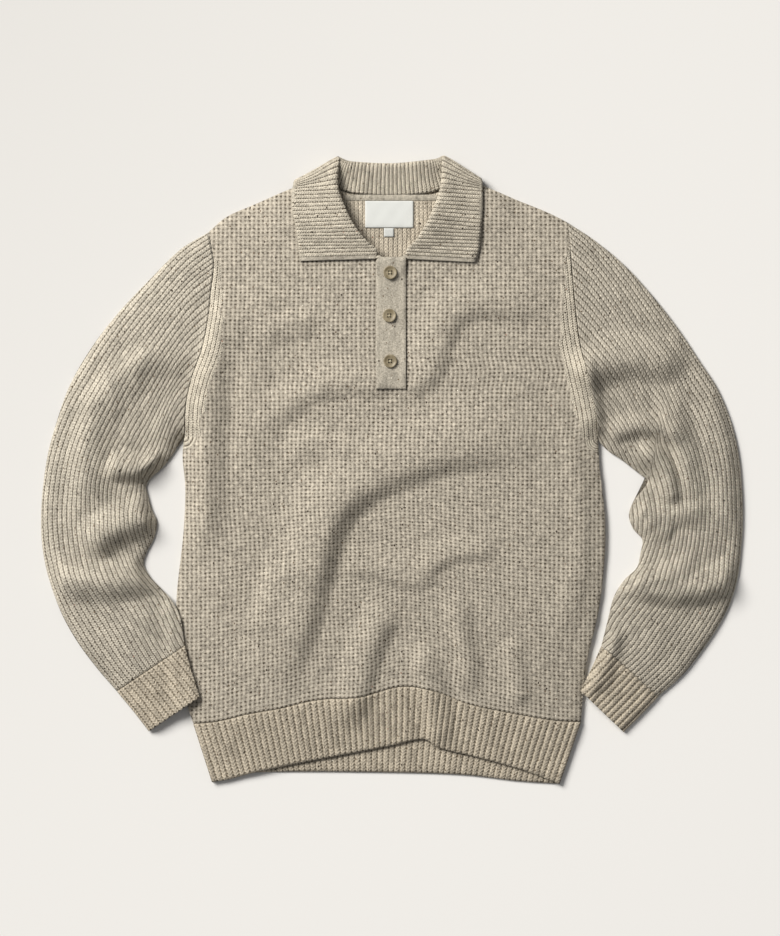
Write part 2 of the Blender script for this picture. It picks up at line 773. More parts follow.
def back_top(x: np.ndarray) -> np.ndarray:
    """The back panel's top edge: shoulders, and the shallow back neck between them.

    Args:
        x: Places across the panel.

    Returns:
        The edge's level at each of them.
    """
    line = join_lines(smooth_curve(SHOULDER[Side.RIGHT], SHOULDER_POINTS),
                      smooth_curve(NECK_BACK, NECK_POINTS) - (0, SEAM),
                      smooth_curve(SHOULDER[Side.LEFT], SHOULDER_POINTS)[::-1])
    return np.interp(x, line[:, 0], line[:, 1])


@dataclass
class Body:
    """The front and back panels.

    Each row of ribs_beside says how many ribs run beside an armhole at a share of its length.
    """

    drape: Drape
    ribs_beside: Sequence[tuple[float, float]] = ((0.1, 0.0), (0.15, 2.0), (0.4, 4.0),
                                                  (0.62, 5.9), (0.86, 5.3), (1.0, 3.9))
    rib_tail: float = 4.0
    least_wall: float = 1.0
    back_gap: float = 1.0
    front: Panel = field(init=False)
    back: Panel = field(init=False)

    def __post_init__(self) -> None:
        """Cut the two panels."""
        self.front = Panel(WAFFLE, 2, front_top, smooth_curve(HEM_SEAM, SEAM_POINTS), SEAM,
                           slit=True)
        self.back = Panel(REVERSE_RIB, 1, back_top, smooth_curve(HEM_SEAM_BACK, SEAM_POINTS),
                          self.back_gap)

    def armhole_ribs(self, places: Places) -> tuple[np.ndarray, np.ndarray]:
        """Ribs that run beside each armhole in place of the waffle.

        Args:
            places: The front panel's places in plan.

        Returns:
            Stitch coordinates beside the armholes, and where the ribs are.
        """
        near = np.full(places.shape[:-1], np.inf)
        count = np.zeros(places.shape[:-1])
        stitches = np.zeros(places.shape)
        for side, line in zip((Side.RIGHT, Side.LEFT), self.front.sides()):
            armhole = line[line[:, 1] > ARMHOLE[side][-1][1] - self.rib_tail]
            distance, _, passed = line_distance(places, armhole)
            length = np.linalg.norm(np.diff(armhole, axis=0), axis=1).sum()
            closer = distance < near
            stitches[closer] = np.stack([distance / ARMHOLE_RIB.across - 0.5,
                                         passed * length / ARMHOLE_RIB.along], axis=-1)[closer]
            count = np.where(closer, np.interp(passed, *np.transpose(self.ribs_beside)), count)
            near = np.minimum(near, distance)
        return stitches, near < ARMHOLE_RIB.across * np.floor(count)

    def build_front(self, finish: bpy.types.Material,
                    rib: bpy.types.Material) -> bpy.types.Object:
        """Model the front panel, slit for the placket and ribbed beside the armholes.

        Args:
            finish: The knit's material.
            rib: Material of the ribs beside the armholes.

        Returns:
            The modelled piece.
        """
        places, stitches, keep = self.front.lay_out()
        places = gather(places, self.drape.fold_height(places))
        top = self.drape.body_top(places)
        beside, ribbed = self.armhole_ribs(places)
        relief = np.where(ribbed, ARMHOLE_RIB.relief(beside[..., 0], beside[..., 1]),
                          WAFFLE.relief(stitches[..., 0], stitches[..., 1]))
        rib_quads = (ribbed[1:, 1:] & ribbed[:-1, :-1]).astype(int)
        low = self.drape.wall + self.drape.layer_gap + self.drape.neck_lift(places)
        reverse = np.maximum(top - self.drape.wall, low)
        face = np.maximum(top + relief, reverse + self.least_wall)
        return Shell("front_knit", raised(places, face), raised(places, reverse), stitches,
                     keep, finish_of_quad=rib_quads, second_stitches=beside).build([finish, rib])

    def build_back(self, finish: bpy.types.Material,
                   inside: bpy.types.Material) -> bpy.types.Object:
        """Model the back panel. Its inside faces up and shows in the neck.

        Args:
            finish: The material outside.
            inside: The material of its inside.

        Returns:
            The modelled piece.
        """
        places, stitches, keep = self.back.lay_out()
        lift = self.drape.neck_lift(places)
        return Shell("back_knit", raised(places, lift + self.drape.wall), raised(places, lift),
                     stitches, keep, reverse_finish=1).build([inside, finish])


@dataclass
class Hems:
    """The two ribbed hem bands."""

    drape: Drape
    body: Body
    knit: Knit = WIDE_RIB
    per_rib: int = 4
    front_rows: int = 30
    back_rows: int = 26
    sink_width: float = 60.0
    end_rest: float = 1.0
    least_height: float = 2.3
    least_gap: float = 0.7
    front_crown: float = 0.9
    front_seam_share: float = 0.3
    front_end: float = -0.7
    back_depth: float = 0.55
    back_crown: float = 0.5
    back_end: float = -0.9

    def lay_out(self, upper: Line, end: Sequence[tuple[float, float]],
                rows: int) -> tuple[Places, np.ndarray]:
        """Lay a band out between its seam and its free end.

        Args:
            upper: The seam.
            end: The free end's points.
            rows: How many rows of points the band has.

        Returns:
            The places and the stitch coordinates.
        """
        ribs = int((upper[-1, 0] - upper[0, 0]) / self.knit.across)
        columns = ribs * self.per_rib + 1
        upper = evenly(upper, columns) - (0, 2 * SEAM)
        lower = evenly(smooth_curve(end, END_POINTS), columns)
        down = np.linspace(0, 1, rows)[:, None, None]
        places = upper[None] * (1 - down) + lower[None] * down
        u = np.linspace(0, ribs, columns)[None].repeat(rows, axis=0)
        v = np.abs(places[..., 1] - upper[None, :, 1]) / self.knit.along
        return places, np.stack([u + 0.5, v], axis=-1)

    def front_height(self, places: Places) -> np.ndarray:
        """Top of the front band without its ribs: it sinks towards its free end.

        Args:
            places: Places in plan.

        Returns:
            Heights in mm.
        """
        distance = line_distance(places, smooth_curve(HEM_END, HEM_POINTS))[0]
        drop = self.drape.sheet_height - 2 * (self.drape.wall + SEAM) - self.end_rest
        return self.drape.body_top(places) - drop * (1 - ease(distance / self.sink_width))

    def build_front(self, finish: bpy.types.Material) -> bpy.types.Object:
        """Model the front band, which drapes over the back one.

        Args:
            finish: The knit's material.

        Returns:
            The modelled piece.
        """
        places, stitches = self.lay_out(self.body.front.hem_line(), HEM_END, self.front_rows)
        low = self.drape.wall + self.drape.layer_gap
        height = np.maximum(self.front_height(places), low + self.least_height)
        reverse = np.maximum(height - self.drape.wall, low + self.least_gap)
        relief = self.knit.relief(stitches[..., 0], stitches[..., 1]) + self.front_crown
        relief[0] *= self.front_seam_share
        relief[-1] = self.front_end
        return Shell("hem_front_knit", raised(places, height + relief), raised(places, reverse),
                     stitches).build([finish])

    def build_back(self, finish: bpy.types.Material) -> bpy.types.Object:
        """Model the back band, which lies flat on the surface.

        Args:
            finish: The knit's material.

        Returns:
            The modelled piece.
        """
        places, stitches = self.lay_out(self.body.back.hem_line(), HEM_END_BACK, self.back_rows)
        relief = self.knit.relief(stitches[..., 0], stitches[..., 1])
        relief = relief * self.back_depth + self.back_crown
        relief[-1] = self.back_end
        height = self.drape.wall + relief
        return Shell("hem_back_knit", raised(places, height), raised(places, np.zeros_like(height)),
                     stitches).build([finish])


@dataclass
class Tube:
    """A sleeve or cuff: a knitted tube that lies flat, with its ribs along it."""

    name: str
    side: Side
    drape: Drape
    knit: Knit
    outer: Line
    inner: Line
    seam: Line | None = None
    per_rib: int = 4
    under_per_rib: int = 2
    seam_fade: float = 110.0
    rest_share: float = 0.9
    crown: float = 0.0
    guides: Sequence[Sequence[float]] = ()
    guide_blur: int = 7
    ribs_over: tuple[int, int] = (-12, 50)
    edge_calm: float = 4.0
    under_inset: float = 3.5
    under_wall_inset: float = 6.0
    least_room: float = 0.5

    def rib_places(self, ribs: np.ndarray) -> np.ndarray:
        """Distance of each rib from the outer edge at each section.

        Args:
            ribs: Numbers of ribs. Those below 0 lie beyond the outer edge.

        Returns:
            One row of distances for each section.
        """
        if not self.guides:
            return np.tile(ribs * self.knit.across, (len(self.outer), 1))
        passed = np.linspace(0, 1, len(self.outer))
        shares, *columns = np.array(self.guides, float).T
        around = 2 * self.guide_blur + 1
        rows = np.array([np.convolve(np.pad(np.interp(passed, shares, column), self.guide_blur,
                                            mode="edge"), np.ones(around) / around, mode="valid")
                         for column in columns]).T
        pitch = np.diff(rows, axis=1) / np.diff(GUIDE_RIBS)
        return (np.array([np.interp(ribs, GUIDE_RIBS, row) for row in rows])
                + pitch[:, :1] * np.clip(ribs, None, 0)
                + pitch[:, -1:] * np.clip(ribs - GUIDE_RIBS[-1], 0, None))

    def lay_out(self, per_rib: int) -> tuple[Places, np.ndarray]:
        """Lay out one half of the tube from its outer to its inner edge.

        Args:
            per_rib: Points for each rib.

        Returns:
            The places and the stitch coordinates. Points past an edge lie on it.
        """
        width = np.linalg.norm(self.inner - self.outer, axis=1)[:, None]
        ribs = np.arange(self.ribs_over[0] * per_rib, self.ribs_over[1] * per_rib) / per_rib
        away = self.rib_places(ribs)
        used = np.flatnonzero(((away > 0) & (away < width)).any(axis=0))
        away, ribs = (part[..., used[0] - 1:used[-1] + 2] for part in (away, ribs))
        low, high = ([np.interp(limit, row, ribs) for limit, row in zip(limits, away)]
                     for limits in (np.zeros(len(away)), width[:, 0]))
        share = (np.clip(away, 0, width) / width)[..., None]
        ribs = np.clip(ribs, np.array(low)[:, None], np.array(high)[:, None])
        places = self.outer[:, None] * (1 - share) + self.inner[:, None] * share
        run = np.concatenate(([0], np.cumsum(np.linalg.norm(np.diff(
            0.5 * (self.outer + self.inner), axis=0), axis=1))))
        if self.seam is not None:
            line = evenly(self.seam, SEAM_POINTS)
            bend = np.stack([np.interp(share[0, :, 0], np.linspace(0, 1, len(line)), line[:, axis])
                             for axis in (0, 1)], axis=1) - places[0]
            amount = np.stack([np.interp(share[..., 0], share[0, :, 0], bend[:, axis])
                               for axis in (0, 1)], axis=-1)
            places = places + amount * (1 - ease(run / self.seam_fade))[:, None, None]
        v = run[:, None].repeat(away.shape[1], axis=1) / self.knit.along
        return places, np.stack([ribs, v], axis=-1)

    def top_height(self, places: Places) -> np.ndarray:
        """Top of the tube without its ribs.

        Args:
            places: Places in plan.

        Returns:
            Heights in mm.
        """
        rest = self.drape.under_sleeve(places, self.side)
        height = self.drape.sleeve_top(places, self.side) + rest * self.rest_share
        return np.maximum(height, rest + self.drape.sleeve_edge)

    def inset(self, places: Places, distance: float) -> Places:
        """Draw places near the edges towards the tube's middle line.

        Args:
            places: Places in plan.
            distance: How far to draw them, in mm.

        Returns:
            The moved places.
        """
        middle = 0.5 * (self.outer + self.inner)[:, None]
        toward = middle - places
        away = np.linalg.norm(toward, axis=-1, keepdims=True).clip(1)
        half = 0.5 * np.linalg.norm(self.inner - self.outer, axis=1)[:, None, None]
        return places + toward / away * distance * np.clip(away / half, 0, 1) ** 4

    def build(self, finish: bpy.types.Material) -> bpy.types.Object:
        """Model the tube: upper half, underside and the inner wall that follows both.

        Args:
            finish: The knit's material.

        Returns:
            The modelled piece.
        """
        wall = self.drape.wall
        upper, upper_stitches = self.lay_out(self.per_rib)
        lower, lower_stitches = (part[:, ::-1] for part in self.lay_out(self.under_per_rib))
        top = self.top_height(upper)
        edge = np.minimum(line_distance(upper, self.outer)[0], line_distance(upper, self.inner)[0])
        relief = self.knit.relief(upper_stitches[..., 0], upper_stitches[..., 1])
        relief = relief * ease(edge / self.edge_calm) + self.crown
        ground = self.drape.under_sleeve(lower, self.side)
        face = np.concatenate([raised(upper, top + relief),
                               raised(self.inset(lower, self.under_inset), ground)], axis=1)
        upper_in, lower_in = self.inset(upper, wall), self.inset(lower, self.under_wall_inset)
        rest = self.drape.under_sleeve(upper_in, self.side)
        ceiling = np.maximum(self.top_height(upper_in) - wall, rest + wall + self.least_room)
        reverse = np.concatenate([raised(upper_in, ceiling), raised(lower_in, ground + wall)],
                                 axis=1)
        stitches = np.concatenate([upper_stitches, lower_stitches], axis=1)
        return Shell(self.name, face, reverse, stitches, tube=True).build([finish])


@dataclass
class Sleeves:
    """Both sleeves and their cuffs."""

    drape: Drape
    body: Body
    sections: int = 190
    cuff_sections: int = 26
    seam_gap: float = 0.35
    cuff_gap: float = 0.36
    cuff_crown: float = 0.9

    def armhole(self, side: Side) -> Line:
        """The part of the front panel's side that the sleeve is sewn to.

        Args:
            side: The sleeve's side.

        Returns:
            The seam, in mm.
        """
        line = self.body.front.sides()[0 if side is Side.RIGHT else 1]
        outward = -1 if side is Side.RIGHT else 1
        low = ARMHOLE[side][-1]
        return line[line[:, 1] >= low[1] - 0.5] + (outward * self.seam_gap, 0)

    def build_sleeve(self, side: Side, finish: bpy.types.Material) -> bpy.types.Object:
        """Model one sleeve from the armhole to the cuff.

        Args:
            side: The sleeve's side.
            finish: The knit's material.

        Returns:
            The modelled piece.
        """
        return Tube("sleeve_%s_knit" % side.value, side, self.drape, SLEEVE_RIB,
                    *edge_lines(SLEEVE_SECTIONS[side], self.sections), self.armhole(side),
                    guides=GUIDE_ROWS[side]).build(finish)

    def build_cuff(self, side: Side, finish: bpy.types.Material) -> bpy.types.Object:
        """Model one cuff, open at the wrist.

        Args:
            side: The cuff's side.
            finish: The knit's material.

        Returns:
            The modelled piece.
        """
        rows = np.array(CUFF_SECTIONS[side], float)
        along = (rows[-1] - rows[0]) / np.linalg.norm((rows[-1] - rows[0])[:2])
        rows[0] += along * self.cuff_gap
        return Tube("cuff_%s_knit" % side.value, side, self.drape, CUFF_RIB,
                    *edge_lines(rows, self.cuff_sections), crown=self.cuff_crown).build(finish)


# Collar, one station after another from the tip up to the shoulder: seam x, y, fold x, y and
# outer edge x, y
COLLAR_FRONT = {
    Side.RIGHT: ((-9.5, 236.5, -9, 237, -103, 234), (-24, 246.5, -20, 247, -104.5, 245),
                 (-40, 257.5, -30, 256, -105.5, 256), (-60, 276, -44, 275, -108, 273),
                 (-73, 295, -54, 296, -112, 295), (-80, 312, -61, 317, -111.5, 314)),
    Side.LEFT: ((8.5, 236.5, 8, 237, 93, 232.5), (23, 246.5, 19, 247, 97, 243),
                (38, 257.5, 28, 257, 98.5, 255), (56, 276, 40, 277, 100, 273),
                (70, 295, 49, 298, 101.5, 295), (77, 312, 55, 318, 101.5, 314))}
# Round the shoulders and the back: seam, lower third, fold, upper part and outer edge, x, y, z
COLLAR_BACK = (
    ((-81, 329, 7.5), (-70, 336, 9), (-63, 343, 9.6), (-60, 346, 12.5), (-68, 342, 14.4),
     (-88, 330, 14), (-110, 321, 13)),
    ((-80.5, 332, 5.5), (-70, 341, 5.5), (-63, 348, 5.5), (-60.5, 351, 5.5), (-70, 346, 5.5),
     (-88, 336, 5.5), (-108, 325, 5.5)),
    ((-78, 329.5, 4.6), (-68, 337, 6.6), (-60, 345, 9.6), (-55, 348, 6.4), (-64, 341, 1.4),
     (-86, 329, 1.4), (-104, 319, 1.4)),
    ((-50, 313, 4.6), (-47, 327, 7.6), (-44, 341, 12.2), (-43, 345, 8), (-44, 341, 1.4),
     (-51, 314, 1.4), (-60, 290, 1.4)),
    ((0, 309, 4.6), (0, 325, 8.0), (0, 340, 12.6), (0, 343, 8), (0, 340, 1.4), (0, 312, 1.4),
     (0, 286, 1.4)),
    ((47, 313, 4.6), (44, 329, 7.6), (42, 343, 12.2), (41, 347, 8), (42, 343, 1.4),
     (48, 314, 1.4), (57, 290, 1.4)),
    ((74.5, 329.5, 4.6), (65, 337, 6.6), (57, 346, 9.6), (52, 349, 6.4), (61, 342, 1.4),
     (82, 329, 1.4), (97, 320, 1.4)),
    ((76.5, 332, 5.5), (67, 341, 5.5), (60, 349, 5.5), (57.5, 352, 5.5), (66, 348, 5.5),
     (82, 338, 5.5), (99, 327, 5.5)),
    ((77, 329, 7.5), (67, 336, 9), (60, 343, 9.6), (57, 347, 12.5), (64, 343, 14.4),
     (82, 332, 14), (101, 322, 13)))


def spline(points: np.ndarray, spots: np.ndarray) -> np.ndarray:
    """Read points off a smooth curve through the rows of an array.

    Args:
        points: The array. Its rows may be points, or lines of points.
        spots: Where on the curve, in steps from row to row.

    Returns:
        One row for each spot.
    """
    padded = np.concatenate([2 * points[:1] - points[1:2], points,
                             2 * points[-1:] - points[-2:-1]])
    cell = np.clip(np.floor(spots), 0, len(points) - 2).astype(int)
    part = (spots - cell).reshape(-1, *[1] * (points.ndim - 1))
    before, start, end, after = (padded[cell + step] for step in range(4))
    return (before * (-0.5 * part + part ** 2 - 0.5 * part ** 3)
            + start * (1 - 2.5 * part ** 2 + 1.5 * part ** 3)
            + end * (0.5 * part + 2 * part ** 2 - 1.5 * part ** 3)
            + after * (-0.5 * part ** 2 + 0.5 * part ** 3))


@dataclass
class Collar:
    """The ribbed collar: one strip folded over, its fall under the back panel behind."""

    drape: Drape
    knit: Knit = COLLAR_RIB
    per_rib: int = 4
    rows: int = 44
    turn: float = 4.6
    turn_growth: float = 0.25
    stand_rise: float = 0.6
    fall_rise: float = 1.5
    fall_share: float = 0.55
    tip_shares: Sequence[float] = (0, 0.03, 0.06, 0.1, 0.15, 0.55, 1)
    wall: float = 1.9
    border: float = 4.2
    edge_roll: float = 1.6
    edge_line: float = 1.0
    edge_bead: float = 0.35
    tip_line: float = 1.2
    tip_bead: float = 0.2
    crown: float = 0.5
    lift: float = 0.35
    measured_column: float = 4.6
    measured_points: int = 800
    net: np.ndarray = field(init=False)

    def __post_init__(self) -> None:
        """Set out the stations that the strip runs through."""
        self.net = np.array([*self.front_stations(Side.RIGHT), *COLLAR_BACK,
                             *self.front_stations(Side.LEFT)[::-1]], float)

    def ground(self, places: Places, reach: float = 4.5) -> np.ndarray:
        """Highest point of the front within reach of each place.

        Args:
            places: Places in plan.
            reach: How far around a place to look, in mm.

        Returns:
            Heights in mm.
        """
        turns = np.linspace(0, 2 * math.pi, 9)[:-1]
        shifts = np.concatenate([[[0, 0]], reach * np.stack([np.cos(turns), np.sin(turns)], 1)])
        return np.max([self.drape.body_top(places + shift) for shift in shifts], axis=0)

    def front_stations(self, side: Side) -> list[list[tuple[float, float, float]]]:
        """Stations of one leaf that lies on the front, from the tip up to the shoulder.

        Args:
            side: The leaf's side.

        Returns:
            Seven points to a station, from the seam over the fold to the edge.
        """
        stations = []
        for order, row in enumerate(COLLAR_FRONT[side]):
            seam, fold, edge = (np.array(row[at:at + 2], float) for at in (0, 2, 4))
            inward = (edge - fold) / np.linalg.norm(edge - fold)
            # The turn gets tighter towards the tip, where the strip lies flat
            turn = self.turn * min(1.0, self.turn_growth * (order + 1))
            centre = fold + inward * turn
            places = [seam, 0.5 * (seam + centre), centre, fold, centre,
                      centre * (1 - self.fall_share) + edge * self.fall_share, edge]
            if order == 0:
                places = [fold + (edge - fold) * part for part in self.tip_shares]
            over = self.ground(np.array(places)) + SEAM + self.lift + self.wall / 2
            low = over[0] - SEAM - self.lift - self.drape.wall
            heights = list(over)
            if order:
                foot = low + self.stand_rise
                heights = [low, 0.5 * (low + foot), foot, foot + turn,
                           max(foot + 2 * turn, over[4]), over[5] + self.fall_rise, over[6]]
            stations.append([(*place, height) for place, height in zip(places, heights)])
        return stations

    def surface(self, along: np.ndarray, across: np.ndarray) -> np.ndarray:
        """Points on the strip's middle surface, at stations along it and columns across it."""
        return spline(spline(self.net, along).swapaxes(0, 1), across).swapaxes(0, 1)

    def build(self, finish: bpy.types.Material, edge: bpy.types.Material) -> bpy.types.Object:
        """Model the strip with its ribs across it and a smooth border.

        Args:
            finish: The knit's material.
            edge: Material of the smooth border.

        Returns:
            The modelled piece.
        """
        fine = np.linspace(0, self.net.shape[0] - 1, self.measured_points)
        line = self.surface(fine, np.array([self.measured_column]))[:, 0]
        run = np.concatenate(([0], np.cumsum(np.linalg.norm(np.diff(line, axis=0), axis=1))))
        ribs = int(run[-1] / self.knit.across)
        along = np.interp(np.linspace(0, run[-1], self.per_rib * ribs + 1), run, fine)
        across = np.linspace(0, self.net.shape[1] - 1, self.rows)
        middle = self.surface(along, across)
        rise = np.gradient(middle, axis=1)
        normal = np.cross(np.gradient(middle, axis=0), rise)
        normal /= np.linalg.norm(normal, axis=-1, keepdims=True).clip(1e-9)
        steps = np.linalg.norm(np.diff(middle, axis=1), axis=-1)
        length = np.pad(np.cumsum(steps, axis=1), ((0, 0), (1, 0)))
        left = length[:, -1:] - length
        u = np.linspace(0, ribs, len(along))[:, None].repeat(self.rows, axis=1)
        stitches = np.stack([u + 0.5, left / self.knit.along], axis=-1)
        to_tip = np.minimum(u, ribs - u) * self.knit.across
        calm = ease((to_tip - self.border + 1) / 2) * ease((left - self.edge_line) / self.edge_roll)
        bead = self.edge_bead * ease(1 - np.abs(left - self.edge_line) / self.edge_roll)
        bead = bead + self.tip_bead * ease(1 - np.abs(to_tip - self.tip_line) / 2)
        relief = (self.knit.relief(stitches[..., 0], stitches[..., 1]) + self.crown) * calm + bead
        half = self.wall / 2
        upward = ease(normal[..., 2] * 2)
        face = middle + normal * (half + relief * upward)[..., None]
        reverse = middle - normal * half
        for points in (face, reverse):
            points[..., 2] = np.maximum(points[..., 2], 0.0)
        plain = ((cell_middles(left) < self.edge_roll)
                 | (cell_middles(to_tip) < self.border)).astype(int)
        return Shell("collar_knit", face, reverse, stitches,
                     finish_of_quad=plain).build([finish, edge])


@dataclass
class Patch:
    """A thin flat piece that lies on others, made from their points moved up."""

    name: str
    x: tuple[float, float]
    y: tuple[float, float]
    thickness: float
    counts: tuple[int, int]
    ground: Callable[[Places], np.ndarray]
    knit: Knit = PLAIN
    round_edge: float = 0.3
    corner: float = 0.0
    soft: float = 0.0
    edge_width: float = 2.0
    billow: tuple[float, float] = (3.1, 4.7)

    def lay_out(self) -> Places:
        """Lay the piece out in plan, with its upper right corner, as worn, rounded.

        Returns:
            A grid of places in plan.
        """
        x, y = np.meshgrid(np.linspace(*self.x, self.counts[0]),
                           np.linspace(self.y[1], self.y[0], self.counts[1]))
        if self.corner:
            up = self.corner - np.clip(self.y[1] - y, 0, self.corner)
            bow = self.corner - np.sqrt(self.corner ** 2 - up ** 2)
            x = x + bow * np.clip((self.x[0] + self.corner - x) / self.corner, 0, 1)
        return np.stack([x, y], axis=-1)

    def build(self, materials: Sequence[bpy.types.Material]) -> bpy.types.Object:
        """Model the piece.

        Args:
            materials: The finish, and if there is a second one, that of the edge.

        Returns:
            The modelled piece.
        """
        places = self.lay_out()
        ground = self.ground(places)
        low, high = np.array((self.x, self.y)).T
        inside = np.minimum(places - low, high - places).min(axis=-1)
        stitches = (places - low) / (self.knit.across, self.knit.along)
        relief = self.knit.relief(stitches[..., 0], stitches[..., 1])
        relief = relief + self.soft * np.sin(places / self.billow).prod(axis=-1)
        calm = ease(inside / self.edge_width)
        top = ground + self.thickness + relief * calm - self.round_edge * (1 - calm)
        return Shell(self.name, raised(places, top), raised(places, ground),
                     stitches).build(materials)


@dataclass
class Placket:
    """The button band in the slit and the buttonhole band that lies over it."""

    drape: Drape
    collar: Collar
    x: tuple[float, float] = (-18.2, 15.6)
    y: tuple[float, float] = (91.0, 238.5)
    under_y: tuple[float, float] = (93.0, 233.0)
    thickness: float = 2.0
    over_thickness: float = 1.3
    top_lift: float = 3.4
    lift_from: float = 213.0
    lift_ramp: float = 23.5
    reach: float = 4.0

    def over(self, places: Places) -> np.ndarray:
        """Underside of the upper band. Its top end lies over the ends of the collar."""
        lift = self.top_lift * ease((places[..., 1] - self.lift_from) / self.lift_ramp)
        return self.collar.ground(places, self.reach) + SEAM + lift

    def build_under(self, finish: bpy.types.Material) -> bpy.types.Object:
        """Model the lower band.

        Args:
            finish: The knit's material.

        Returns:
            The modelled piece.
        """
        inside = (SLIT_X[0] + SEAM, SLIT_X[1] - SEAM)
        return Patch("placket_under_knit", inside, self.under_y, self.thickness, (23, 94),
                     lambda places: self.drape.body_top(places) - self.thickness,
                     round_edge=0.1).build([finish])

    def build_over(self, finish: bpy.types.Material) -> bpy.types.Object:
        """Model the upper band, felted and soft at its edges."""
        return Patch("placket_knit", self.x, self.y, self.over_thickness, (45, 150), self.over,
                     round_edge=0.7, corner=7.0, soft=0.1, edge_width=3.0).build([finish])


@dataclass
class NeckTrim:
    """Tape over the back neck seam, bare label and bare size tab."""

    drape: Drape
    thickness: float = 1.0

    def ground(self, places: Places) -> np.ndarray:
        """Just above the inside of the back panel."""
        return self.drape.neck_lift(places) + self.drape.wall + SEAM

    def build(self, tape: bpy.types.Material,
              weave: bpy.types.Material) -> list[bpy.types.Object]:
        """Model the three pieces.

        Args:
            tape: The tape's material.
            weave: The material of label and tab.

        Returns:
            Tape, label and size tab.
        """
        return [Patch("neck_tape_knit", (-54, 52), (302.6, 309), 0.7, (90, 12),
                      self.ground, round_edge=0.45, soft=0.12, edge_width=2.6).build([tape]),
                Patch("label_weave", (-30, 24), (272, 302), self.thickness, (40, 26), self.ground,
                      round_edge=0.15, soft=0.12).build([weave]),
                Patch("size_tab_weave", (-9, 2), (262, 271.4), self.thickness, (10, 9),
                      self.ground, round_edge=0.15).build([weave])]


